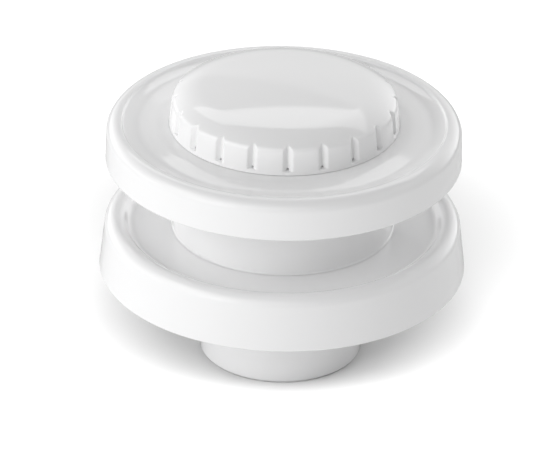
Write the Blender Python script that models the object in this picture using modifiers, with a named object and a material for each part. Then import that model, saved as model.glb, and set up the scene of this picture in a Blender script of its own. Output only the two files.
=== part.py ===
"""A low water-seal airlock for a fermenting tank: a spigot that plugs the bung hole, two dished discs on a
collar that holds the sealing liquid, a bell that floats over the gas pipe, and a fluted vent cap.

The airlock stands on the end of its spigot, at the origin, with its axis along +Z. The front is -Y.
"""

import bmesh
import bpy
from math import asin, atan2, cos, degrees, pi, radians, sin, sqrt
from mathutils import Matrix, Vector

MM = 0.001

# How finely round shapes are faceted
FACETS = 48
RING_FACETS = 6
ARC_STEPS = 3
CROWN_STEPS = 4

# Walls and fits
WALL = 2.0 * MM
TOUCH = 0.3 * MM  # between pieces that rest on or press against each other
SLIDE = 0.3 * MM  # round a piece that lifts out of another

# Spigot, which goes into the bung hole, and its two sealing rings
SPIGOT_RADIUS = 24.3 * MM
SPIGOT_WALL = 3.2 * MM
SPIGOT_REACH = 28.0 * MM  # from its end up to the edge of the lower skirt
SPIGOT_CHAMFER = 1.0 * MM
FLANGE_WIDTH = 4.7 * MM
FLANGE_THICKNESS = 2.2 * MM
RING_CORD = 2.4 * MM
RING_STANDS_OUT = 0.9 * MM
LOWER_RING_HEIGHT = 15.5 * MM
RING_PITCH = 6.0 * MM
GASKET_THICKNESS = 1.4 * MM
GASKET_INSET = 0.5 * MM

# Lower disc: a tapered skirt, a rounded lip and a shallow deck
LOWER_RADIUS = 55.0 * MM
LOWER_TAPER = 1.5 * MM
LOWER_HEIGHT = 16.8 * MM
LOWER_LIP_RADIUS = 3.6 * MM
LOWER_LIP_RISE = 2.8 * MM
LOWER_LIP_WIDTH = 3.2 * MM
DECK_SAG = 0.4 * MM

# Water cup: the collar between the discs, its floor, the gas pipe and the boss that screws into the spigot
COLLAR_RADIUS = 33.1 * MM
COLLAR_WALL = 2.2 * MM
COLLAR_HEIGHT = 29.7 * MM
CUP_FLOOR = 2.2 * MM
PIPE_BORE = 8.8 * MM
PIPE_WALL = 2.2 * MM
BOSS_WALL = 3.0 * MM
BOSS_DEPTH = 11.3 * MM
SEAL_CORD = 1.6 * MM
SEAL_HEIGHT = 3.2 * MM  # above the end of the boss

# Upper disc: its skirt, lip, deck and the neck that plugs into the collar
UPPER_RADIUS = 53.3 * MM
UPPER_TAPER = 0.2 * MM
UPPER_HEIGHT = 12.1 * MM
UPPER_LIP_RADIUS = 4.0 * MM
UPPER_LIP_WIDTH = 3.0 * MM
UPPER_LIP_RISE = 1.3 * MM
HUB_THICKNESS = 3.3 * MM
HUB_ABOVE_LIP_FOOT = 0.7 * MM
PLUG_DEPTH = 6.3 * MM
NECK_WALL = 2.0 * MM
NECK_HEIGHT = 4.4 * MM  # above the hub

# Vent cap: a fluted wall, a crown and a stop for the bell
CAP_GAP = 0.8 * MM  # round the upper disc's neck, for the gas on its way to the vents
CAP_WALL = 3.0 * MM
CAP_DRAFT = 0.7 * MM
CAP_WALL_HEIGHT = 6.8 * MM
SHOULDER_RADIUS = 2.0 * MM
SHOULDER_SLOPE = radians(30)  # of the cap's top where the shoulder starts
ROLL_RADIUS = 22.0 * MM  # of the roll between the shoulder and the crown
CROWN_SLOPE = radians(7)  # where the crown leaves the roll
FLUTES = 20
FLUTE_RADIUS = 1.6 * MM
FLUTE_DEPTH = 1.6 * MM
FLUTE_FOOT = 1.7 * MM  # height of the plain band below the flutes
VENT_WIDTH = 1.8 * MM
VENT_HEIGHT = 1.2 * MM
CAP_TURN = radians(2)
RIBS = 5
RIB_WIDTH = 1.2 * MM
STOP_RADIUS = 5.0 * MM
STOP_WALL = 1.6 * MM

# Bell, an upturned cup that floats over the gas pipe
BELL_RADIUS = 19.0 * MM
BELL_WALL = 1.5 * MM
BELL_ABOVE_PIPE = 2.5 * MM  # from the pipe's end to the bell's ceiling
BELL_CORNER = 2.0 * MM
BELL_TRAVEL = 4.5 * MM
BUBBLE_SLOTS = 6
BUBBLE_SLOT_WIDTH = 4.0 * MM
BUBBLE_SLOT_HEIGHT = 3.0 * MM

# Radii that fit to each other
SPIGOT_BORE = SPIGOT_RADIUS - SPIGOT_WALL
BOSS_RADIUS = SPIGOT_BORE - TOUCH
COLLAR_BORE = COLLAR_RADIUS - COLLAR_WALL
NECK_RADIUS = COLLAR_BORE - SLIDE
NECK_BORE = NECK_RADIUS - NECK_WALL
PIPE_RADIUS = PIPE_BORE + PIPE_WALL
PIPE_HEIGHT = COLLAR_HEIGHT - CUP_FLOOR  # level with the collar's rim
CAP_BORE = NECK_RADIUS + CAP_GAP
CAP_RADIUS = CAP_BORE + CAP_WALL

# Heights of the seats above the spigot's end
LOWER_LIP_TOP = SPIGOT_REACH + LOWER_HEIGHT
LOWER_DECK = LOWER_LIP_TOP - LOWER_LIP_RISE
GASKET_SEAT = LOWER_DECK - WALL - TOUCH - GASKET_THICKNESS
FLANGE_TOP = GASKET_SEAT - TOUCH
CUP_SEAT = LOWER_DECK + TOUCH
HUB_SEAT = CUP_SEAT + COLLAR_HEIGHT + TOUCH
HUB_TOP = HUB_SEAT + HUB_THICKNESS
CAP_SEAT = HUB_TOP + TOUCH
BELL_SEAT = CUP_SEAT + CUP_FLOOR + TOUCH
BELL_HEIGHT = PIPE_HEIGHT - TOUCH + BELL_ABOVE_PIPE + BELL_WALL


def clear_scene():
    for old in list(bpy.data.objects):
        bpy.data.objects.remove(old, do_unlink=True)


def new_collection(name):
    collection = bpy.data.collections.new(name)
    bpy.context.scene.collection.children.link(collection)
    return collection


def plastic(name, colour, roughness):
    material = bpy.data.materials.new(name)
    material.use_nodes = True
    shader = material.node_tree.nodes["Principled BSDF"]
    shader.inputs["Base Color"].default_value = (*colour, 1)
    shader.inputs["Roughness"].default_value = roughness
    shader.inputs["Metallic"].default_value = 0
    return material


def arc(centre, radius, start, end, steps=ARC_STEPS):
    """Points along an arc in the (radius, height) plane, angles in degrees from straight out."""
    angles = [radians(start + (end - start) * i / steps) for i in range(steps + 1)]
    return [(centre[0] + radius * cos(a), centre[1] + radius * sin(a)) for a in angles]


def sagging(start, end, sag, steps=ARC_STEPS):
    """Points inside a shallow parabola that hangs between two points."""
    inner = [i / steps for i in range(1, steps)]
    return [
        (
            start[0] + (end[0] - start[0]) * t,
            start[1] + (end[1] - start[1]) * t - 4 * sag * t * (1 - t),
        )
        for t in inner
    ]


def add_object(name, mesh, seat, material, collection, parent):
    piece = bpy.data.objects.new(name, mesh)
    collection.objects.link(piece)
    piece.location.z = seat
    piece.parent = parent
    mesh.materials.append(material)
    return piece


def turned(name, outline, seat, material, collection, parent, closed=True):
    """A piece turned from its outline, which runs down the outside and back up the inside."""
    mesh = bpy.data.meshes.new(name)
    count = len(outline)
    edges = [(i, (i + 1) % count) for i in range(count if closed else count - 1)]
    mesh.from_pydata([(r, 0, z) for r, z in outline], edges, [])
    piece = add_object(name, mesh, seat, material, collection, parent)
    spin = piece.modifiers.new("turn", "SCREW")
    spin.axis = "Z"
    spin.steps = FACETS
    spin.render_steps = FACETS
    spin.use_merge_vertices = True
    spin.merge_threshold = 0.00001
    spin.use_smooth_shade = False
    return piece


def sealing_ring(name, centre_radius, cord, seat, material, collection, parent):
    """A round-section ring lying flat, with its centre at the seat."""
    bpy.ops.mesh.primitive_torus_add(
        major_radius=centre_radius,
        minor_radius=cord / 2,
        major_segments=FACETS,
        minor_segments=RING_FACETS,
    )
    made = bpy.context.object
    mesh = made.data
    bpy.data.objects.remove(made)
    mesh.name = name
    return add_object(name, mesh, seat, material, collection, parent)


def box_at(cutter, size, place):
    """Adds a box of that size to a bmesh, placed by a matrix."""
    bmesh.ops.create_cube(cutter, size=1, matrix=place @ Matrix.Diagonal((*size, 1)))


def helper(name, cutter, collection):
    mesh = bpy.data.meshes.new(name)
    cutter.to_mesh(mesh)
    cutter.free()
    made = bpy.data.objects.new(name, mesh)
    collection.objects.link(made)
    made.hide_render = True
    made.display_type = "WIRE"
    return made


def boolean(piece, other, operation):
    modifier = piece.modifiers.new(other.name, "BOOLEAN")
    modifier.operation = operation
    modifier.solver = "EXACT"
    modifier.object = other


def spigot_outline():
    """The tube, with grooves for its two rings and the flange under the lower disc."""
    floor = SPIGOT_RADIUS + RING_STANDS_OUT - RING_CORD - TOUCH
    half = RING_CORD / 2 + TOUCH
    flange = SPIGOT_RADIUS + FLANGE_WIDTH
    under = FLANGE_TOP - FLANGE_THICKNESS
    outline = [(flange, FLANGE_TOP), (flange, under), (SPIGOT_RADIUS, under)]
    for height in (LOWER_RING_HEIGHT + RING_PITCH, LOWER_RING_HEIGHT):
        outline += [
            (SPIGOT_RADIUS, height + half),
            (floor, height + half),
            (floor, height - half),
            (SPIGOT_RADIUS, height - half),
        ]
    outline += [
        (SPIGOT_RADIUS, SPIGOT_CHAMFER),
        (SPIGOT_RADIUS - SPIGOT_CHAMFER, 0),
        (SPIGOT_BORE, 0),
        (SPIGOT_BORE, FLANGE_TOP),
    ]
    return outline


def disc_skin(radius, taper, height, lip_radius, lip_width, lip_rise):
    """Outer and inner skins of a disc's skirt and lip, from the foot of the lip to the skirt's edge.

    Heights are measured from the skirt's edge. The inner skin runs back up to the foot of the lip.
    """
    middle = radius - taper - lip_radius
    outer_centre = (middle, height - lip_radius)
    inner_centre = (middle, height - lip_width)
    foot_height = height - lip_rise
    foot_angle = 180 - 180 / pi * atan2(
        lip_width - lip_rise, sqrt(lip_width**2 - (lip_width - lip_rise) ** 2)
    )
    outer = arc(inner_centre, lip_width, foot_angle, 90) + arc(outer_centre, lip_radius, 90, 0)[1:]
    outer.append((radius, 0))
    inner = [(radius - WALL, 0)] + arc(outer_centre, lip_radius - WALL, 0, 90)
    inner += arc(inner_centre, lip_width - WALL, 90, 180, 2)[1:]
    inner.append((inner[-1][0], foot_height - WALL))
    return outer, inner


def lower_disc_outline():
    """Heights are measured from the skirt's edge."""
    outer, inner = disc_skin(
        LOWER_RADIUS, LOWER_TAPER, LOWER_HEIGHT, LOWER_LIP_RADIUS, LOWER_LIP_WIDTH, LOWER_LIP_RISE
    )
    deck = LOWER_HEIGHT - LOWER_LIP_RISE
    hole = BOSS_RADIUS + TOUCH
    cup_edge = (COLLAR_RADIUS + TOUCH, deck)
    top = [(hole, deck), cup_edge] + sagging(cup_edge, outer[0], DECK_SAG)
    under = sagging(inner[-1], (cup_edge[0], deck - WALL), DECK_SAG)
    return top + outer + inner + under + [(cup_edge[0], deck - WALL), (hole, deck - WALL)]


def upper_disc_outline():
    """Heights are measured from the seat on the collar's rim."""
    lip_foot = HUB_THICKNESS - HUB_ABOVE_LIP_FOOT
    edge = lip_foot + UPPER_LIP_RISE - UPPER_HEIGHT
    outer, inner = disc_skin(
        UPPER_RADIUS, UPPER_TAPER, UPPER_HEIGHT, UPPER_LIP_RADIUS, UPPER_LIP_WIDTH, UPPER_LIP_RISE
    )
    outer = [(r, z + edge) for r, z in outer]
    inner = [(r, z + edge) for r, z in inner]
    cap_edge = (CAP_RADIUS + TOUCH, HUB_THICKNESS)
    pad_edge = COLLAR_RADIUS + WALL / 2
    neck = [
        (NECK_BORE, HUB_THICKNESS + NECK_HEIGHT),
        (NECK_RADIUS, HUB_THICKNESS + NECK_HEIGHT),
        (NECK_RADIUS, HUB_THICKNESS),
        cap_edge,
    ]
    top = sagging(cap_edge, outer[0], DECK_SAG)
    pad = [(pad_edge, HUB_THICKNESS - WALL - DECK_SAG), (pad_edge, 0), (NECK_RADIUS, 0)]
    plug = [(NECK_RADIUS, -PLUG_DEPTH), (NECK_BORE, -PLUG_DEPTH)]
    return neck + top + outer + inner + pad + plug


def water_cup_outline():
    """Heights are measured from the cup's underside."""
    seal_floor = BOSS_RADIUS - SEAL_CORD - TOUCH
    seal_centre = SEAL_HEIGHT - BOSS_DEPTH
    half = SEAL_CORD / 2 + TOUCH
    boss_bore = BOSS_RADIUS - BOSS_WALL
    return [
        (COLLAR_RADIUS, COLLAR_HEIGHT),
        (COLLAR_RADIUS, 0),
        (BOSS_RADIUS, 0),
        (BOSS_RADIUS, seal_centre + half),
        (seal_floor, seal_centre + half),
        (seal_floor, seal_centre - half),
        (BOSS_RADIUS, seal_centre - half),
        (BOSS_RADIUS, -BOSS_DEPTH),
        (boss_bore, -BOSS_DEPTH),
        (boss_bore, -CUP_FLOOR),
        (PIPE_BORE, 0),
        (PIPE_BORE, CUP_FLOOR + PIPE_HEIGHT),
        (PIPE_RADIUS, CUP_FLOOR + PIPE_HEIGHT),
        (PIPE_RADIUS, CUP_FLOOR),
        (COLLAR_BORE, CUP_FLOOR),
        (COLLAR_BORE, COLLAR_HEIGHT),
    ]


def bell_outline():
    """Heights are measured from the bell's edge. The outline starts and ends on the axis."""
    centre = (BELL_RADIUS - BELL_CORNER, BELL_HEIGHT - BELL_CORNER)
    outer = [(0, BELL_HEIGHT)] + arc(centre, BELL_CORNER, 90, 0, 3) + [(BELL_RADIUS, 0)]
    inner = [(BELL_RADIUS - BELL_WALL, 0)] + arc(centre, BELL_CORNER - BELL_WALL, 0, 90, 2)
    return outer + inner + [(0, BELL_HEIGHT - BELL_WALL)]


def crown(edge, slope, steps=CROWN_STEPS):
    """Points of a spherical crown from the axis out to an edge, which it meets at that slope."""
    sphere = edge[0] / sin(slope)
    centre = edge[1] - sphere * cos(slope)
    angles = [slope * i / steps for i in range(steps)]
    return [(sphere * sin(a), centre + sphere * cos(a)) for a in angles]


def cap_outline():
    """Heights are measured from the cap's base. The outline starts and ends on the axis."""
    corner = (CAP_RADIUS - CAP_DRAFT - SHOULDER_RADIUS, CAP_WALL_HEIGHT)
    reach = ROLL_RADIUS - SHOULDER_RADIUS
    middle = (corner[0] - reach * sin(SHOULDER_SLOPE), corner[1] - reach * cos(SHOULDER_SLOPE))
    crown_end = 90 - degrees(CROWN_SLOPE)
    shoulder_start = 90 - degrees(SHOULDER_SLOPE)
    roll = arc(middle, ROLL_RADIUS, crown_end, shoulder_start)
    shoulder = arc(corner, SHOULDER_RADIUS, shoulder_start, 0)
    outer = crown(roll[0], CROWN_SLOPE) + roll + shoulder[1:] + [(CAP_RADIUS, 0)]
    inner_start = 90 - degrees(asin((CAP_BORE - middle[0]) / (ROLL_RADIUS - WALL)))
    under_roll = arc(middle, ROLL_RADIUS - WALL, inner_start, crown_end)
    ceiling = crown(under_roll[-1], CROWN_SLOPE)
    bell_top = BELL_SEAT + BELL_HEIGHT + BELL_TRAVEL + TOUCH - CAP_SEAT
    outside = [point for point in ceiling[::-1] if point[0] > STOP_RADIUS]
    stop = [
        (STOP_RADIUS, ceiling[0][1]),
        (STOP_RADIUS, bell_top),
        (STOP_RADIUS - STOP_WALL, bell_top),
        (STOP_RADIUS - STOP_WALL, ceiling[0][1]),
        ceiling[0],
    ]
    return outer + [(CAP_BORE, 0)] + under_roll + outside + stop


def round_the_cap(count, offset=0.0):
    """Turns of the cap at which something repeats, the first at the front."""
    return [Matrix.Rotation(offset + 2 * pi * i / count, 4, "Z") for i in range(count)]


def flute_cutters(collection, parent):
    """Round-bottomed grooves that follow the cap wall's draft."""
    cutter = bmesh.new()
    lean = atan2(CAP_DRAFT, CAP_WALL_HEIGHT)
    length = CAP_WALL_HEIGHT + 3 * SHOULDER_RADIUS
    foot_radius = CAP_RADIUS - CAP_DRAFT * FLUTE_FOOT / CAP_WALL_HEIGHT
    foot = Vector((0, -(foot_radius - FLUTE_DEPTH + FLUTE_RADIUS), FLUTE_FOOT))
    upright = Matrix.Translation((0, 0, length / 2))
    for turn in round_the_cap(FLUTES, CAP_TURN):
        place = turn @ Matrix.Translation(foot) @ Matrix.Rotation(-lean, 4, "X") @ upright
        bmesh.ops.create_cone(
            cutter,
            cap_ends=True,
            segments=10,
            radius1=FLUTE_RADIUS,
            radius2=FLUTE_RADIUS,
            depth=length,
            matrix=place,
        )
    made = helper("flute_cutters", cutter, collection)
    made.parent = parent
    made.location.z = CAP_SEAT
    return made


def vent_cutters(collection, parent):
    """Holes through the wall at the foot of each flute."""
    cutter = bmesh.new()
    through = CAP_WALL * 3
    middle = Vector((0, -CAP_BORE, FLUTE_FOOT + VENT_HEIGHT / 2))
    for turn in round_the_cap(FLUTES, CAP_TURN):
        box_at(cutter, (VENT_WIDTH, through, VENT_HEIGHT), turn @ Matrix.Translation(middle))
    made = helper("vent_cutters", cutter, collection)
    made.parent = parent
    made.location.z = CAP_SEAT
    return made


def cap_ribs(collection, parent):
    """Upright ribs inside the wall, between flutes, that centre the cap on the neck."""
    added = bmesh.new()
    tip = NECK_RADIUS + SLIDE
    root = CAP_BORE + WALL / 4
    top = CAP_WALL_HEIGHT + WALL / 4
    middle = Vector((0, -(tip + root) / 2, top / 2))
    between = CAP_TURN + pi / FLUTES
    for turn in round_the_cap(RIBS, between):
        box_at(added, (RIB_WIDTH, root - tip, top), turn @ Matrix.Translation(middle))
    made = helper("cap_ribs", added, collection)
    made.parent = parent
    made.location.z = CAP_SEAT
    return made


def bubble_cutters(collection, parent):
    """Slots across the bell's edge, where the gas bubbles out."""
    cutter = bmesh.new()
    middle = Vector((0, -(BELL_RADIUS - BELL_WALL / 2), 0))
    size = (BUBBLE_SLOT_WIDTH, BELL_WALL * 3, BUBBLE_SLOT_HEIGHT * 2)
    for turn in round_the_cap(BUBBLE_SLOTS):
        box_at(cutter, size, turn @ Matrix.Translation(middle))
    made = helper("bubble_cutters", cutter, collection)
    made.parent = parent
    made.location.z = BELL_SEAT
    return made


def main():
    clear_scene()
    pieces = new_collection("water_seal_airlock")
    helpers = new_collection("cutters")
    axis = bpy.data.objects.new("airlock_axis", None)
    pieces.objects.link(axis)

    white = plastic("white_plastic", (0.86, 0.86, 0.855), 0.28)
    natural = plastic("natural_plastic", (0.80, 0.81, 0.80), 0.35)
    silicone = plastic("silicone", (0.62, 0.63, 0.63), 0.55)

    # Spigot, its rings and the gasket under the lower disc
    turned("spigot", spigot_outline(), 0, white, pieces, axis)
    ring_centre = SPIGOT_RADIUS + RING_STANDS_OUT - RING_CORD / 2
    for name, height in (
        ("spigot_ring_lower", LOWER_RING_HEIGHT),
        ("spigot_ring_upper", LOWER_RING_HEIGHT + RING_PITCH),
    ):
        sealing_ring(name, ring_centre, RING_CORD, height, silicone, pieces, axis)
    gasket_outer = SPIGOT_RADIUS + FLANGE_WIDTH - GASKET_INSET
    gasket_inner = BOSS_RADIUS + 2 * TOUCH
    gasket = [
        (gasket_outer, GASKET_THICKNESS),
        (gasket_outer, 0),
        (gasket_inner, 0),
        (gasket_inner, GASKET_THICKNESS),
    ]
    turned("flange_gasket", gasket, GASKET_SEAT, silicone, pieces, axis)

    # Lower disc, and the cup whose boss clamps it to the spigot
    turned("lower_disc", lower_disc_outline(), SPIGOT_REACH, white, pieces, axis)
    turned("water_cup", water_cup_outline(), CUP_SEAT, white, pieces, axis)
    seal_centre = CUP_SEAT - BOSS_DEPTH + SEAL_HEIGHT
    seal_radius = BOSS_RADIUS - SEAL_CORD / 2
    sealing_ring("cup_seal_ring", seal_radius, SEAL_CORD, seal_centre, silicone, pieces, axis)

    # Bell, upper disc and vent cap, which lift off
    bell = turned("float_bell", bell_outline(), BELL_SEAT, natural, pieces, axis, closed=False)
    boolean(bell, bubble_cutters(helpers, axis), "DIFFERENCE")
    turned("upper_disc", upper_disc_outline(), HUB_SEAT, white, pieces, axis)
    cap = turned("vent_cap", cap_outline(), CAP_SEAT, white, pieces, axis, closed=False)
    boolean(cap, cap_ribs(helpers, axis), "UNION")
    boolean(cap, flute_cutters(helpers, axis), "DIFFERENCE")
    boolean(cap, vent_cutters(helpers, axis), "DIFFERENCE")


main()
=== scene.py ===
# %% [markdown]
# # A water-seal airlock in glossy white plastic
#
# A fermenting tank gives off gas, and an airlock lets that gas out and lets no air in. This one is a low
# stack of turned mouldings. A spigot plugs the hole in the tank. A lower disc covers the hole's surround. A
# cup holds the sealing liquid, and its outer wall is the collar that shows between the discs. An upper disc
# plugs into the collar, and a fluted cap covers the way out. A small bell floats over the gas pipe, out of
# sight.
#
# The engineering model gives the places, the joints and the sizes. This script gives the same pieces finer
# surfaces, and adds the plastic, the lamps and the camera. First the tools and the model are loaded.

from math import atan2, ceil, cos, degrees, pi, radians, sin, sqrt

import bmesh
import bpy
from mathutils import Matrix, Vector


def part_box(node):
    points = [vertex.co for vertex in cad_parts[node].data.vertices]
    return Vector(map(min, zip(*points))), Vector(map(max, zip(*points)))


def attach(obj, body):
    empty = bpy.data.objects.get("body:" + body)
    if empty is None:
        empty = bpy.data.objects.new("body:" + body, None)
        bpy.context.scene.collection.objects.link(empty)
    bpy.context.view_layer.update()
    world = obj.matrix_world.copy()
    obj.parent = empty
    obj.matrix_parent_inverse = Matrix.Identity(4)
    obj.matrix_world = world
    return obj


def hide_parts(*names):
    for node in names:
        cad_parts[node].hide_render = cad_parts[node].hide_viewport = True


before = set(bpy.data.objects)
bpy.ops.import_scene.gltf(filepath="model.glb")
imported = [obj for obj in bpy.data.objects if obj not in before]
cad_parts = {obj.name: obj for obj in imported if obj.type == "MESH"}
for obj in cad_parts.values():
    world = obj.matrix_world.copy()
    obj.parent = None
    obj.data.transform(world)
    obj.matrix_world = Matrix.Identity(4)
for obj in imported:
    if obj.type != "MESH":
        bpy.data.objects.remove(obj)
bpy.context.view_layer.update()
for node in sorted(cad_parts):
    low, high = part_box(node)
    width, bottom, top = 1000 * (high[0] - low[0]), 1000 * low[2], 1000 * high[2]
    print(f"{node}: {width:.1f} mm wide, from {bottom:.1f} to {top:.1f} mm up")

# %% [markdown]
# ## Rounded outlines
#
# Every main piece here is round, so each one starts as half of its cross-section: points of radius and
# height, in millimetres. A moulded edge is never sharp, because hot plastic can't fill a sharp corner and a
# sharp corner can't leave the mould. A Bevel modifier could round the edges after turning. Rounding the
# outline before turning is simpler to control, because each corner then has its own radius.

# %% Round the corners of an outline


def rounded(corners, closed=True):
    """Points of an outline whose corners (radius, height, rounding) are each swept into an arc."""
    count = len(corners)
    points = []
    for i, (r, z, rounding) in enumerate(corners):
        here = Vector((r, z))
        if rounding == 0 or (not closed and i in (0, count - 1)):
            points.append(here)
            continue
        back = Vector(corners[i - 1][:2]) - here
        ahead = Vector(corners[(i + 1) % count][:2]) - here
        opening = back.angle(ahead)
        run = rounding / (sin(opening / 2) / cos(opening / 2))
        run = min(run, 0.49 * back.length, 0.49 * ahead.length)
        fits = run * (sin(opening / 2) / cos(opening / 2))
        middle = here + (back.normalized() + ahead.normalized()).normalized() * (fits / sin(opening / 2))
        start = here + back.normalized() * run
        end = here + ahead.normalized() * run
        steps = max(3, ceil(degrees(pi - opening) / 9))
        from_middle = start - middle
        turn = from_middle.angle_signed(end - middle)
        for step in range(steps + 1):
            angle = -turn * step / steps
            points.append(
                middle
                + Vector(
                    (
                        from_middle.x * cos(angle) - from_middle.y * sin(angle),
                        from_middle.x * sin(angle) + from_middle.y * cos(angle),
                    )
                )
            )
    return points


square = rounded([(2, 1, 0.3), (2, 0, 0.3), (1, 0, 0.3), (1, 1, 0.3)])
print(f"a square with rounded corners has {len(square)} points")

# %% [markdown]
# Some edges are larger arcs, such as the lips of the discs, and the top of the cap is a chain of three arcs.
# A second helper gives the points of one arc. Its angles count from straight out, towards the top.

# %% Points along an arc


def arc(r, z, radius, start, end, step=6):
    """Points of an arc about (r, z), as corners that need no rounding."""
    count = max(2, ceil(abs(end - start) / step))
    angles = [radians(start + (end - start) * i / count) for i in range(count + 1)]
    return [(r + radius * cos(a), z + radius * sin(a), 0) for a in angles]


print("a lip's quarter arc:", [(round(r, 1), round(z, 1)) for r, z, _ in arc(50, 40, 3.6, 90, 0, 30)])

# %% [markdown]
# ## Turning an outline
#
# Blender's Screw modifier turns an outline about an axis. The cap needs more, because its wall has flutes
# and holes, so the turning is written out here: one column of points for each angle, joined by four-sided
# faces. A shape function may move a point in or out, and a hole is a patch of faces left out of both walls,
# with its rim closed between them.
#
# Smooth shading spreads across a whole face. Long flat faces next to a small rounding would look blown up,
# so each long stretch gets two extra points, close to its ends, that hold it flat.

# %% Turn an outline into a piece


def held(points, closed):
    """The outline with holding points near the ends of its long straight stretches."""
    out = []
    for i, here in enumerate(points):
        out.append(here)
        if not closed and i == len(points) - 1:
            break
        ahead = points[(i + 1) % len(points)] - here
        if ahead.length > 2.5:
            out += [here + ahead * (0.15 / ahead.length), here + ahead * (1 - 0.15 / ahead.length)]
    return out


def even_turns(count):
    return [2 * pi * i / count for i in range(count)]


def turned(points, closed=True, turns=None, shape=None, hole=None):
    """A turned piece in metres, and its grid of points. hole says which (column, row) faces to leave out."""
    turns = turns or even_turns(192)
    rows = len(points)
    mesh = bmesh.new()
    grid = []
    for turn in turns:
        column = []
        for row, point in enumerate(points):
            r = point.x if shape is None else shape(turn, row, point.x, point.y)
            if r < 1e-6 and grid:
                column.append(grid[0][row])
            else:
                x, y = r * sin(turn), -r * cos(turn)
                column.append(mesh.verts.new((x / 1000, y / 1000, point.y / 1000)))
        grid.append(column)
    spans = rows if closed else rows - 1
    for c, column in enumerate(grid):
        beside = grid[(c + 1) % len(grid)]
        for row in range(spans):
            if hole and hole(c, row):
                continue
            below = (row + 1) % rows
            corners = [column[row], column[below], beside[below], beside[row]]
            unique = list(dict.fromkeys(corners))
            if len(unique) > 2:
                mesh.faces.new(unique)
    return mesh, grid


def finish_mesh(name, mesh, body, *nodes):
    """Makes the object, shades it smooth up to its sharp edges and puts it in place of model nodes."""
    bmesh.ops.recalc_face_normals(mesh, faces=mesh.faces)
    data = bpy.data.meshes.new(name)
    mesh.to_mesh(data)
    mesh.free()
    data.polygons.foreach_set("use_smooth", [True] * len(data.polygons))
    data.set_sharp_from_angle(angle=radians(48))
    piece = bpy.data.objects.new(name, data)
    bpy.context.scene.collection.objects.link(piece)
    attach(piece, body)
    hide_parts(*nodes)
    print(f"{name}: {len(data.polygons)} faces, rides on {body}")
    return piece


def plain_turned(name, corners, body, node, closed=True):
    mesh, _ = turned(held(rounded(corners, closed), closed), closed)
    return finish_mesh(name, mesh, body, node)


# %% [markdown]
# ## The levels of the stack
#
# The model already fixes where each piece starts and ends. Reading those levels from it, rather than typing
# them again, keeps the fine surfaces on top of the plain ones when the model changes. All are in
# millimetres.

# %% Read the levels from the model


def span(node):
    """(radius, lowest, highest) of a model node in millimetres."""
    low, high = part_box(node)
    return 500 * (high[0] - low[0]), 1000 * low[2], 1000 * high[2]


skirt_radius, skirt_edge, lower_lip_top = span("lower_disc")
upper_radius, plug_end, _ = span("upper_disc")
cap_radius, cap_base, cap_top = span("vent_cap")
collar_radius, boss_end, collar_top = span("water_cup")
spigot_flange, spigot_end, flange_top = span("spigot")
bell_radius, bell_edge, bell_top = span("float_bell")
print(f"collar {2 * collar_radius:.1f} mm across, cap from {cap_base:.1f} to {cap_top:.1f} mm")

# %% [markdown]
# ## The lower disc
#
# The disc keeps drips off the tank round the bung. Its skirt widens towards its edge, which is the draft
# that lets the moulding leave its mould. The lip is a full round, and falls to the flat deck inside it,
# where a soft crease shows as a grey ring.

# %% The lower disc
wall = 2.0
fit = 0.3
soft_edge = 0.3
lip_radius = 3.6
lip_inside = 3.2
skirt_draft = 1.5
lower_deck = lower_lip_top - 2.8
lower_lip = skirt_radius - skirt_draft - lip_radius
boss_radius = 20.8
lower_disc = plain_turned(
    "lower_disc_shell",
    [
        (boss_radius + fit, lower_deck, soft_edge),
        (lower_lip - 3.9, lower_deck, 2.2),
        *arc(lower_lip, lower_lip_top - lip_inside, lip_inside, 140, 90),
        *arc(lower_lip, lower_lip_top - lip_radius, lip_radius, 84, 4),
        (skirt_radius, skirt_edge, 0.6),
        (skirt_radius - wall, skirt_edge, 0.4),
        *arc(lower_lip, lower_lip_top - lip_radius, lip_radius - wall, 4, 90, 12),
        *arc(lower_lip, lower_lip_top - lip_inside, lip_inside - wall, 90, 150, 12),
        (lower_lip - 1.4, lower_deck - wall, 0.6),
        (boss_radius + fit, lower_deck - wall, soft_edge),
    ],
    "base",
    "lower_disc",
)

# %% [markdown]
# ## The water cup
#
# The collar between the discs is the wall of the cup that holds the sealing liquid. Inside it a pipe rises
# from the floor, and below it a boss plugs into the spigot, with a groove for its seal ring. Only the
# outside of the collar shows until the upper disc is lifted, but the inside is finished too, because then it
# shows. The collar's foot flares into the deck, so that no dark line parts the two.

# %% The water cup
collar_height = 29.7
cup_wall = 2.2
cup_seat = collar_top - collar_height
cup_foot = cup_seat - 0.2
foot = 0.5
cup_floor = cup_seat + cup_wall
collar_bore = collar_radius - cup_wall
pipe_radius = 11.0
pipe_bore = pipe_radius - cup_wall
boss_bore = boss_radius - 3.0
seal_cord = 1.6
seal_middle = boss_end + 3.2
groove_floor = boss_radius - 1.9
groove = seal_cord / 2 + fit
water_cup = plain_turned(
    "water_cup_shell",
    [
        (collar_radius, collar_top, 0.4),
        *arc(collar_radius + foot, cup_foot + 0.1 + foot, foot, 180, 270, 15),
        (collar_radius + foot, cup_foot, 0),
        (boss_radius, cup_foot, 0),
        (boss_radius, seal_middle + groove, 0.15),
        (groove_floor, seal_middle + groove, 0.15),
        (groove_floor, seal_middle - groove, 0.15),
        (boss_radius, seal_middle - groove, 0.15),
        (boss_radius, boss_end, 0.6),
        (boss_bore, boss_end, 0.6),
        (boss_bore, cup_seat - cup_wall, 1.0),
        (pipe_bore, cup_seat, 1.0),
        (pipe_bore, collar_top, 0.6),
        (pipe_radius, collar_top, 0.6),
        (pipe_radius, cup_floor, 1.0),
        (collar_bore, cup_floor, 1.5),
        (collar_bore, collar_top, 0.4),
    ],
    "base",
    "water_cup",
)

# %% [markdown]
# ## The spigot
#
# The spigot is a plain tube with a flange. Two grooves hold the rings that seal it in the bung hole. Its end
# is chamfered, so that it finds the hole by itself, and it is what the airlock stands on here.

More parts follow.
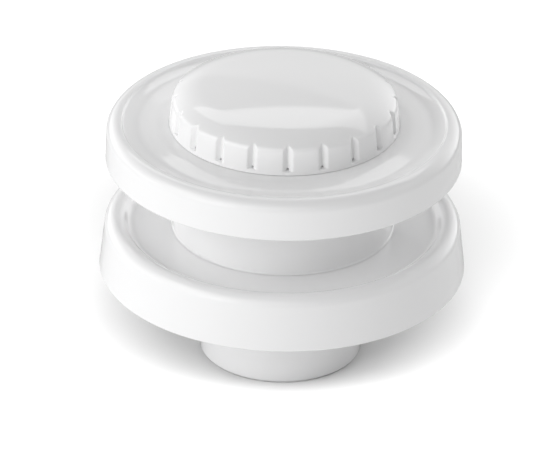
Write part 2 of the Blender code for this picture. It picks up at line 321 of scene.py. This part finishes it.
# %% The spigot
spigot_radius = spigot_flange - 4.7
flange_thickness = 2.2
chamfer = 1.0
ring_cord = 2.4
ring_stands_out = 0.9
ring_levels = [sum(span(node)[1:]) / 2 for node in ("spigot_ring_upper", "spigot_ring_lower")]
ring_floor = spigot_radius + ring_stands_out - ring_cord - fit
ring_half = ring_cord / 2 + fit
spigot_corners = [
    (spigot_flange, flange_top, 0.5),
    (spigot_flange, flange_top - flange_thickness, 0.5),
    (spigot_radius, flange_top - flange_thickness, 0.6),
]
for level in ring_levels:
    spigot_corners += [
        (spigot_radius, level + ring_half, 0.2),
        (ring_floor, level + ring_half, 0.2),
        (ring_floor, level - ring_half, 0.2),
        (spigot_radius, level - ring_half, 0.2),
    ]
spigot_corners += [
    (spigot_radius, spigot_end + chamfer, 0.7),
    (spigot_radius - chamfer, spigot_end, 0.4),
    (boss_radius + fit, spigot_end, 0.5),
    (boss_radius + fit, flange_top, 0.4),
]
spigot = plain_turned("spigot_shell", spigot_corners, "base", "spigot")

# %% [markdown]
# ## The upper disc
#
# The upper disc plugs into the collar and stands proud of it as a neck, which the vent cap sits round. Its
# top is one soft channel: a round lip outside, a low line near it, and a gentle rise to the foot of the cap,
# so that rain runs away from the vents. A curve through a few points, eased with a spline, gives that better
# than arcs.

# %% The upper disc
collar_seat = collar_top + fit
hub_top = collar_seat + 3.3
neck_top = hub_top + 4.4
neck_radius = collar_bore - fit
neck_bore = neck_radius - wall
upper_lip_top = hub_top + 0.6
upper_lip = upper_radius - 0.2 - lip_radius
upper_edge = upper_lip_top - 12.1
socket_radius = collar_radius + 1.0


def eased(through, step=0.5):
    """Points of a smooth curve through the given points, which falls or rises without a kink."""
    out = []
    count = len(through)
    slopes = []
    for i in range(count):
        before, after = through[max(i - 1, 0)], through[min(i + 1, count - 1)]
        slopes.append((after[1] - before[1]) / (after[0] - before[0]))
    for i in range(count - 1):
        (r0, z0), (r1, z1) = through[i], through[i + 1]
        parts = max(2, ceil(abs(r1 - r0) / step))
        for part in range(parts + (i == count - 2)):
            t = part / parts
            run = r1 - r0
            levels = z0 * (1 + 2 * t) * (1 - t) ** 2 + z1 * t * t * (3 - 2 * t)
            lean_in = slopes[i] * t * (1 - t) ** 2 - slopes[i + 1] * t * t * (1 - t)
            out.append((r0 + run * t, levels + run * lean_in, 0))
    return out


foot_of_cap = hub_top + 0.2
channel = [
    (cap_radius + 0.3, foot_of_cap),
    (38.0, hub_top),
    (41.0, hub_top - 0.45),
    (44.0, hub_top - 0.85),
    (46.0, hub_top - 0.68),
    (48.2, hub_top - 0.05),
    (upper_lip - 0.93, upper_lip_top - 0.12),
]
upper_disc = plain_turned(
    "upper_disc_shell",
    [
        (neck_bore, neck_top, 0.5),
        (neck_radius, neck_top, 0.5),
        (neck_radius, hub_top, 0.3),
        (cap_radius - 1.0, hub_top, 0),
        *eased(channel),
        *arc(upper_lip, upper_lip_top - lip_radius, lip_radius, 99, 2),
        (upper_radius, upper_edge, 0.6),
        (upper_radius - wall, upper_edge, 0.4),
        *arc(upper_lip, upper_lip_top - lip_radius, lip_radius - wall, 2, 90, 12),
        (upper_lip - 2.0, upper_lip_top - wall - 0.8, 0.8),
        (44.0, hub_top - 0.85 - wall, 1.0),
        (socket_radius, hub_top - 2.4, 0.5),
        (socket_radius, collar_seat, 0.3),
        (neck_radius, collar_seat, 0.2),
        (neck_radius, plug_end, 0.6),
        (neck_bore, plug_end, 0.5),
    ],
    "upper",
    "upper_disc",
)

# %% [markdown]
# ## The vent cap
#
# The cap's top is three arcs that meet smoothly: a nearly flat crown, a softer roll and a tight shoulder.
# The change from crown to roll is what gives a reflection on it a curved lower edge.
#
# The outline goes from the middle of the crown down the wall, then back up inside and across the ceiling to
# a short stop ring, which keeps the bell from rising too far. The two walls have points at the same heights,
# so that a hole can later pass straight through.

# %% The crown, the roll and the shoulder
draft = 0.7
shoulder_radius = 2.0
roll_outside = 22.0
roll_inside = roll_outside - shoulder_radius
crown_edge = radians(7)
roll_end = radians(60)
wall_top = cap_base + 6.8
shoulder = (cap_radius - draft - shoulder_radius, wall_top)
roll = (shoulder[0] - roll_inside * cos(roll_end), shoulder[1] - roll_inside * sin(roll_end))


def crown(roll_radius, step=0.8):
    """Points of the crown out to where it meets the roll, on one large sphere."""
    edge = (roll[0] + roll_radius * sin(crown_edge), roll[1] + roll_radius * cos(crown_edge))
    sphere = edge[0] / sin(crown_edge)
    count = ceil(edge[0] / step)
    slopes = [crown_edge * i / count for i in range(count)]
    return [(sphere * sin(s), edge[1] + sphere * (cos(s) - cos(crown_edge)), 0) for s in slopes]


print(f"the crown rises {crown(roll_outside)[0][1] - wall_top:.1f} mm above the cap's wall")

# %% The cap's outline
flute_foot = cap_base + 1.2
vent_top = flute_foot + 0.6
bell_rise = 4.5
stop_outside, stop_inside = 5.0, 3.4


def wall_radius(z):
    """The radius of the cap's wall, carried on above its shoulder."""
    return cap_radius - draft * (z - cap_base) / (wall_top - cap_base)


def wall_rows(top):
    """Heights up the wall, close together where a flute or a vent begins and ends."""
    steps = [0, 0.15, 0.4, 0.65, 0.9, 1.0, 1.1, 1.2, 1.5, 1.8, 2.1, 2.4, 2.8, 3.4, 4.0, 4.6, 5.2, 5.8, 6.4]
    return [cap_base + step for step in steps if cap_base + step < top - 0.2]


bore = cap_radius - 3.0
inner_start = 90 - degrees(atan2(bore - roll[0], sqrt(roll_inside**2 - (bore - roll[0]) ** 2)))
outer_top = crown(roll_outside) + arc(*roll, roll_outside, 83, 60, 2)[:-1]
outer_top += arc(*shoulder, shoulder_radius, 60, 0, 6)
under_top = arc(*roll, roll_inside, inner_start, 83, 4)[:-1] + crown(roll_inside, 2)[::-1]
stop_end = bell_top + bell_rise + fit
ceiling_middle = under_top[-1][1]
outer_wall = [(wall_radius(z), z, 0) for z in wall_rows(wall_top)[::-1]]
inner_wall = [(bore, z, 0) for z in wall_rows(wall_top)]
stop_ring = [
    (stop_outside, under_top[-4][1], 0),
    (stop_outside, stop_end, 0.3),
    (stop_inside, stop_end, 0.3),
    (stop_inside, ceiling_middle, 0),
    (0, ceiling_middle, 0),
]
outside_stop = [point for point in under_top if point[0] > stop_outside + 0.2]
cap_points = rounded(outer_top + outer_wall + inner_wall + outside_stop + stop_ring, closed=False)
print(f"the cap's outline has {len(cap_points)} points, and its top is at {cap_points[0].y:.1f} mm")

# %% [markdown]
# Twenty flutes are pressed into the wall, and give the fingers a grip. Each is a shallow V, so one flank
# faces the light and the other faces away, and each has a small vent at its foot.
#
# A Boolean could cut the flutes, and leaves knife edges. Here the wall's own radius dips along each flute,
# and a soft minimum rounds the edge where flute and wall meet, as a worn mould does. Five ribs inside, which
# centre the cap on the neck, are made in the same way. The columns of points stand close together across a
# flute, and further apart between flutes, where the ribs are.

# %% Flutes and ribs
flutes = 20
flute_half = 1.5
flute_depth = 1.4
flute_top = cap_base + 9.4
vent_half = 0.35
rib_half = 0.65
rib_tip = neck_radius + fit
ribs_at = {0, 4, 8, 12, 16}
cap_turn = radians(2)
pitch = 2 * pi / flutes
half_pitch = pitch / 2 * cap_radius
offsets = [0.0, 0.2, vent_half, 0.7, 0.95, 1.15, 1.3, 1.42, 1.52, 1.65, 1.85, 2.1, 2.8, 3.8]
offsets += [half_pitch - 0.75, half_pitch - 0.6]
one_pitch = [-offset for offset in offsets[:0:-1]] + offsets + [half_pitch]
cap_turns = [cap_turn + pitch * i + offset / cap_radius for i in range(flutes) for offset in one_pitch]
outer_rows = len(outer_top) + len(outer_wall)
rib_rows = range(outer_rows, outer_rows + len(inner_wall) + 2)


def soft_minimum(a, b, blend):
    """The smaller of two amounts, with a rounded change from one to the other."""
    share = min(max(0.5 + 0.5 * (b - a) / blend, 0), 1)
    return b + (a - b) * share - blend * share * (1 - share)


def cap_shape(turn, row, r, z):
    """The radius of the cap's surface: its wall dips along the flutes, and its bore comes in at the ribs."""
    place = (turn - cap_turn) / pitch
    across = abs(place - round(place)) * pitch * cap_radius
    if row < outer_rows and r > cap_radius - 5:
        depth = flute_depth * (1 - sqrt(across**2 + 0.04) / flute_half)
        start = min(max((z - flute_foot + 0.3) / 0.3, 0), 1)
        start *= min(max((flute_top - z) / 0.9, 0), 1)
        flute = wall_radius(z) - depth * start + (1 - start) * 0.6
        return soft_minimum(r, flute, 0.3)
    gap = round(place - 0.5) % flutes
    from_rib = abs(place - 0.5 - round(place - 0.5)) * pitch * cap_radius
    if row in rib_rows and gap in ribs_at and from_rib < rib_half:
        return rib_tip
    return r


print(f"{flutes} flutes, {2 * half_pitch:.1f} mm apart, and {len(one_pitch)} columns to each")

# %% [markdown]
# A vent is a patch of faces left out of the outer and the inner wall, and strips of faces join the two rims,
# as the wall of a real hole does. It is simpler than twenty Booleans, and it can't leave slivers.

# %% The vents


def row_between(low, high, rows):
    """Rows of the outline whose next face lies between two heights."""
    return [
        row
        for row in rows
        if min(cap_points[row].y, cap_points[row + 1].y) > low - 0.01
        and max(cap_points[row].y, cap_points[row + 1].y) < high + 0.01
    ]


vent_outer = row_between(flute_foot, vent_top, range(len(outer_top) - 1, outer_rows - 1))
vent_inner = row_between(flute_foot, vent_top, range(outer_rows, outer_rows + len(inner_wall)))
vent_columns = [i for i, offset in enumerate(one_pitch) if -vent_half - 0.01 < offset < vent_half - 0.01]


def at_vent(column, row):
    return column % len(one_pitch) in vent_columns and (row in vent_outer or row in vent_inner)


mesh, grid = turned(cap_points, False, cap_turns, cap_shape, at_vent)
outer_low, outer_high = vent_outer[-1] + 1, vent_outer[0]
inner_low, inner_high = vent_inner[0], vent_inner[-1] + 1
for vent in range(flutes):
    first = vent * len(one_pitch) + vent_columns[0]
    last = vent * len(one_pitch) + vent_columns[-1] + 1
    for c in range(first, last):
        here, beside = grid[c], grid[c + 1]
        for outside, inside in ((outer_low, inner_low), (outer_high, inner_high)):
            mesh.faces.new((here[outside], beside[outside], beside[inside], here[inside]))
    for c in (first, last):
        side = grid[c]
        for step in range(len(vent_outer)):
            outside, inside = outer_low - step, inner_low + step
            mesh.faces.new((side[outside], side[outside - 1], side[inside + 1], side[inside]))
print(f"{flutes} vents, each through {len(vent_columns)} columns and {len(vent_outer)} rows")
vent_cap = finish_mesh("vent_cap_shell", mesh, "cap", "vent_cap")

# %% [markdown]
# ## The bell and the rings
#
# The bell is an upturned cup in natural plastic. Gas from the pipe gathers under it and lifts it, then
# bubbles out through the slots in its edge. The same turning makes it, and a Boolean cuts the slots, which
# are plain.
#
# The rings are cord of round section. A torus primitive would do, and an arc turned about the axis is the
# same shape with the helpers at hand.

# %% The bell
bell_wall = 1.5
bell_points = rounded(
    [
        (0, bell_top, 0),
        (bell_radius, bell_top, 2.0),
        (bell_radius, bell_edge, 0.4),
        (bell_radius - bell_wall, bell_edge, 0.4),
        (bell_radius - bell_wall, bell_top - bell_wall, 1.0),
        (0, bell_top - bell_wall, 0),
    ],
    closed=False,
)
bell_mesh, _ = turned(held(bell_points, False), False)
bell = finish_mesh("float_bell_shell", bell_mesh, "bell", "float_bell")
slots = bmesh.new()
slot_size = Matrix.Diagonal((0.004, 0.006, 0.006, 1))
for turn in even_turns(6):
    at_edge = Matrix.Translation((0, -0.001 * bell_radius, 0.001 * bell_edge))
    bmesh.ops.create_cube(slots, size=1, matrix=Matrix.Rotation(turn, 4, "Z") @ at_edge @ slot_size)
slot_data = bpy.data.meshes.new("bubble_slots")
slots.to_mesh(slot_data)
slots.free()
slot_cutter = bpy.data.objects.new("bubble_slots", slot_data)
bpy.context.scene.collection.objects.link(slot_cutter)
cut = bell.modifiers.new("bubble slots", "BOOLEAN")
cut.operation = "DIFFERENCE"
cut.solver = "EXACT"
cut.object = slot_cutter
bpy.context.view_layer.update()
cut_mesh = bpy.data.meshes.new_from_object(bell.evaluated_get(bpy.context.evaluated_depsgraph_get()))
bell.modifiers.clear()
bell.data = cut_mesh
bpy.data.objects.remove(slot_cutter)
print(f"the bell has {len(cut_mesh.polygons)} faces after its slots are cut")

# %% The rings and the gasket


def ring(name, node, cord):
    """A ring of round cord, at the size and level of its model node."""
    outer, low, high = span(node)
    corners = arc(outer - cord / 2, (low + high) / 2, cord / 2, 180, -180, 20)[:-1]
    mesh, _ = turned(rounded(corners))
    return finish_mesh(name, mesh, "base", node)


rings = [
    ring("spigot_ring_lower_cord", "spigot_ring_lower", ring_cord),
    ring("spigot_ring_upper_cord", "spigot_ring_upper", ring_cord),
    ring("cup_seal_ring_cord", "cup_seal_ring", seal_cord),
]
gasket_radius, gasket_low, gasket_high = span("flange_gasket")
gasket = plain_turned(
    "flange_gasket_disc",
    [
        (gasket_radius, gasket_high, 0.4),
        (gasket_radius, gasket_low, 0.4),
        (boss_radius + 2 * fit, gasket_low, 0.3),
        (boss_radius + 2 * fit, gasket_high, 0.3),
    ],
    "base",
    "flange_gasket",
)

# %% [markdown]
# ## Moulded plastic
#
# Glossy white plastic is not one flat colour. The melt flows unevenly, so its white wanders a little, its
# gloss is a little cloudy where the mould's polish has worn, and its skin has a faint ripple. Noise textures
# in the object's own coordinates give all three, at the sizes they have on a real moulding. The first cell
# makes it possible to write shader maths as plain sums.

# %% Shader maths as plain sums


class Field:
    """A number, colour or vector that varies over a surface, and the node tree that it belongs to."""

    def __init__(self, nodes, socket):
        self.nodes = nodes
        self.socket = socket

    def maths(self, operation, first, second):
        made = self.nodes.add("ShaderNodeMath", {"operation": operation})
        for place, value in enumerate((first, second)):
            plug(made.socket.node.inputs[place], value)
        return made

    def __add__(self, other):
        return self.maths("ADD", self, other)

    __radd__ = __add__

    def __sub__(self, other):
        return self.maths("SUBTRACT", self, other)

    def __rsub__(self, other):
        return self.maths("SUBTRACT", other, self)

    def __mul__(self, other):
        return self.maths("MULTIPLY", self, other)

    __rmul__ = __mul__

    def __truediv__(self, other):
        return self.maths("DIVIDE", self, other)

    def __pow__(self, other):
        return self.maths("POWER", self, other)

    def above(self, other):
        """The larger of this and another amount."""
        return self.maths("MAXIMUM", self, other)


def plug(place, value):
    """Sets a socket to a value, or links a field to it."""
    if isinstance(value, Field):
        value.nodes.tree.links.new(value.socket, place)
    else:
        place.default_value = value


class Nodes:
    """The nodes of one material, or of the world."""

    def __init__(self, tree):
        self.tree = tree

    def add(self, kind, settings=None, output=0, **inputs):
        """Adds a node of that type: its settings first, then the values or links of its sockets."""
        made = self.tree.nodes.new(kind)
        for name, value in (settings or {}).items():
            setattr(made, name, value)
        for name, value in inputs.items():
            plug(made.inputs[name.replace("_", " ")], value)
        return Field(self, made.outputs[output])

    def between(self, share, first, second):
        """A colour between two others."""
        mixed = self.add("ShaderNodeMix", {"data_type": "RGBA"}, 2)
        for place, value in ((0, share), (6, (*first, 1)), (7, (*second, 1))):
            plug(mixed.socket.node.inputs[place], value)
        return mixed


def new_finish(name):
    """A new material, its nodes and its main shader."""
    material = bpy.data.materials.new(name)
    material.use_nodes = True
    return material, Nodes(material.node_tree), material.node_tree.nodes["Principled BSDF"]


reflected = [name for name in vars(Field) if name.startswith("__r")]
print("a plain number may also stand on the left:", reflected)

# %% [markdown]
# One function makes every moulded finish here, since the white plastic, the natural plastic and the silicone
# differ only in colour, gloss and the strength of their ripple. The colour moves between two close shades.

# %% Moulded finishes


def moulded(name, pale, deep, gloss, cloud, ripple):
    """A moulded finish: two close shades, a roughness with its wander, and a ripple in micrometres."""
    material, nodes, shader = new_finish(name)
    place = nodes.add("ShaderNodeTexCoord", None, "Object")

    def noise(scale, detail, roughness):
        return nodes.add(
            "ShaderNodeTexNoise", None, 0, Vector=place, Scale=scale, Detail=detail, Roughness=roughness
        )

    flow = noise(22.0, 3.0, 0.5)
    haze = noise(90.0, 4.0, 0.6)
    skin = noise(700.0, 2.0, 0.5)
    sink = noise(45.0, 1.0, 0.4)
    plug(shader.inputs["Base Color"], nodes.between(flow, pale, deep))
    plug(shader.inputs["Roughness"], gloss + cloud * (haze - 0.5))
    height = skin + 3.0 * sink
    bump = nodes.add("ShaderNodeBump", None, 0, Height=height, Strength=1.0, Distance=ripple * 1e-6)
    plug(shader.inputs["Normal"], bump)
    shader.inputs["IOR"].default_value = 1.49
    print(f"{name}: {len(material.node_tree.nodes)} nodes")
    return material


white_plastic = moulded("gloss_white_plastic", (0.9, 0.9, 0.9), (0.885, 0.885, 0.89), 0.06, 0.03, 0.6)
natural_plastic = moulded("natural_plastic", (0.80, 0.81, 0.80), (0.74, 0.76, 0.75), 0.3, 0.1, 3.0)
silicone = moulded("silicone", (0.64, 0.65, 0.65), (0.58, 0.59, 0.60), 0.5, 0.1, 6.0)


def dress(piece, material):
    piece.data.materials.clear()
    piece.data.materials.append(material)


for piece in (lower_disc, water_cup, spigot, upper_disc, vent_cap):
    dress(piece, white_plastic)
dress(bell, natural_plastic)
for piece in (*rings, gasket):
    dress(piece, silicone)

# %% [markdown]
# ## The table
#
# The table is one big sheet, and the object stands on it and throws its shadow there. Light that the sheet
# throws back up would flatten the undersides, so to every ray but the camera's it is a mid grey. The camera
# sees it paler, and a lamp of its own, further on, brings that up to white.

# %% The table
table_half = 6
table_mesh = bmesh.new()
bmesh.ops.create_grid(table_mesh, x_segments=2, y_segments=2, size=table_half)
table_data = bpy.data.meshes.new("table")
table_mesh.to_mesh(table_data)
table_mesh.free()
table = bpy.data.objects.new("table", table_data)
bpy.context.scene.collection.objects.link(table)
table_white, table_nodes, table_shader = new_finish("table_white")
camera_sees = table_nodes.add("ShaderNodeLightPath", None, "Is Camera Ray")
table_shade = table_nodes.between(camera_sees, (0.34, 0.34, 0.34), (0.64, 0.64, 0.64))
plug(table_shader.inputs["Base Color"], table_shade)
table_shader.inputs["Roughness"].default_value = 0.9
table_shader.inputs["Specular IOR Level"].default_value = 0.0
table_data.materials.append(table_white)
print("the table is", 2 * table_half, "m across")

# %% [markdown]
# ## The studio
#
# White on white shows only by its shading, so the light does the drawing. Small glossy things are often lit
# in a tent of white cloth, which glows more where a lamp stands behind it. Area lamps could do the same, but
# each would show as its own hard shape in the gloss. Here the world itself is the tent: a sum of soft round
# patches, low ones that light the walls and higher ones that light the tops. The left ones are the stronger.

# %% The tent
studio = bpy.data.worlds.new("studio")
bpy.context.scene.world = studio
studio.use_nodes = True
studio_nodes = Nodes(studio.node_tree)
studio_light = studio.node_tree.nodes["Background"]
sight = studio_nodes.add("ShaderNodeTexCoord", None, "Generated")


def towards(turn, rise):
    """The direction at a turn from the front, positive to the right, and a rise above level, in degrees."""
    turn, rise = radians(turn), radians(rise)
    return Vector((sin(turn) * cos(rise), -cos(turn) * cos(rise), sin(rise)))


def patch(turn, rise, narrow):
    """A soft patch of the tent: 1 in its middle, and falling off as a power of the cosine."""
    along = studio_nodes.add("ShaderNodeVectorMath", {"operation": "DOT_PRODUCT"}, "Value")
    for place, value in enumerate((sight, towards(turn, rise))):
        plug(along.socket.node.inputs[place], value)
    return along.above(0.0) ** narrow


tent_patches = [
    (-75, 38, 30, 2.3),
    (-40, 33, 12, 1.75),
    (-45, 5, 12, 2.2),
    (-90, 5, 12, 1.8),
    (-135, 5, 12, 2.0),
    (-150, 22, 12, 1.0),
    (150, 22, 12, 1.4),
    (135, 5, 12, 1.9),
    (90, 30, 12, 1.4),
    (0, 35, 12, 0.85),
]
tent = 0.0
for turn, rise, narrow, strength in tent_patches:
    tent = strength * patch(turn, rise, narrow) + tent
brightest = max(strength for _, _, _, strength in tent_patches)
print(f"{len(tent_patches)} patches in the tent, and the brightest is {brightest}")

# %% [markdown]
# A glossy crown mirrors what stands behind it, so two straight-edged shapes stand there. A softbox puts the
# bright band on the cap, with its straight upper edge and slanted end. A fainter screen to the right of it,
# up to the same slanting edge, keeps the rest of the gloss from looking empty. Both are drawn on a flat
# plane behind the object: how far sideways and how far up a ray crosses it.

# %% The softbox and the screen
axes = studio_nodes.add("ShaderNodeSeparateXYZ", None, "X", Vector=sight).socket.node
right, back, high = [Field(studio_nodes, socket) for socket in axes.outputs]
sideways = right / back.above(0.01)
upwards = high / back.above(0.01)
edge_softness = 0.012
softbox_strength = 1.6
screen_strength = 0.3


def past(amount):
    """1 where an amount is above 0 and 0 where it is below, with a narrow soft edge."""
    edge = studio_nodes.add("ShaderNodeMapRange", {"clamp": True}, "Result", Value=amount)
    edge.socket.node.inputs["From Min"].default_value = -edge_softness
    edge.socket.node.inputs["From Max"].default_value = edge_softness
    return edge


slant = upwards - 0.98 * sideways - 0.505
aslant = sideways.above(-1.0 * sideways)
softbox = past(upwards + 0.14 * sideways - 0.70) * past(slant) * past(1.1 + 0.6 * aslant - upwards)
softbox = softbox * past(sideways + 0.5)
screen = past(0.0 - slant) * past(2.5 - sideways) * past(back - 0.05)
glow = tent + softbox_strength * softbox + screen_strength * screen
print(f"the softbox adds {softbox_strength} to the tent, and the screen {screen_strength}")

# %% [markdown]
# The camera should see plain white round the object, not the tent, so its own rays read a strength of 1.

# %% White to the camera
straight_to_camera = studio_nodes.add("ShaderNodeLightPath", None, "Is Camera Ray")
plug(studio_light.inputs["Strength"], glow + (1 - glow) * straight_to_camera)
studio_light.inputs["Color"].default_value = (1, 1, 1, 1)
print(f"the studio has {len(studio.node_tree.nodes)} nodes")

# %% [markdown]
# The last lamp is for the table only. Light linking names what a lamp may light. Without it, this lamp would
# wash out the front of every white wall. The object still blocks it, so its shadow stays.

# %% The table's lamp
table_lamp_data = bpy.data.lights.new("table_lamp", "AREA")
table_lamp_data.shape = "RECTANGLE"
table_lamp_data.size, table_lamp_data.size_y = 1.3, 0.3
table_lamp_data.energy = 35.0
table_lamp = bpy.data.objects.new("table_lamp", table_lamp_data)
bpy.context.scene.collection.objects.link(table_lamp)
from_lamp = towards(0, 46)
lamp_distance = 1.2
table_lamp.location = lamp_distance * from_lamp
table_lamp.rotation_euler = (-from_lamp).to_track_quat("-Z", "Y").to_euler()
only_table = bpy.data.collections.new("lit_by_table_lamp")
only_table.objects.link(table)
table_lamp.light_linking.receiver_collection = only_table

# %% [markdown]
# ## The camera
#
# Catalogue views are taken from far away with a long lens, which keeps upright lines upright and ellipses
# even. The camera looks down by 28 degrees, leans by one degree, and frames 163 mm at the airlock's
# distance.

# %% Camera
distance = 2.0
look_down = radians(28.1)
lean = radians(1.0)
framed = 0.1632
right_of_middle = 0.0033
above_middle = 0.0009
forward = Vector((0, cos(look_down), -sin(look_down)))
level = Vector((1, 0, 0))
upright = level.cross(forward)
across = cos(lean) * level + sin(lean) * upright
up = cos(lean) * upright - sin(lean) * level
centre = Vector((0, 0, 0.040)) - right_of_middle * across - above_middle * up
lens = bpy.data.cameras.new("camera")
lens.sensor_width = 36
lens.lens = 36 * distance / framed
lens.clip_start, lens.clip_end = 0.01, 50
camera = bpy.data.objects.new("camera", lens)
bpy.context.scene.collection.objects.link(camera)
place = Matrix((across, up, -forward)).transposed().to_4x4()
place.translation = centre - distance * forward
camera.matrix_world = place
bpy.context.scene.camera = camera
bpy.context.scene.view_settings.view_transform = "Standard"
print(f"a {lens.lens:.0f} mm lens, {distance} m away")

# %% [markdown]
# ## The size
#
# The fine surfaces must stay in the same box as the engineering model.
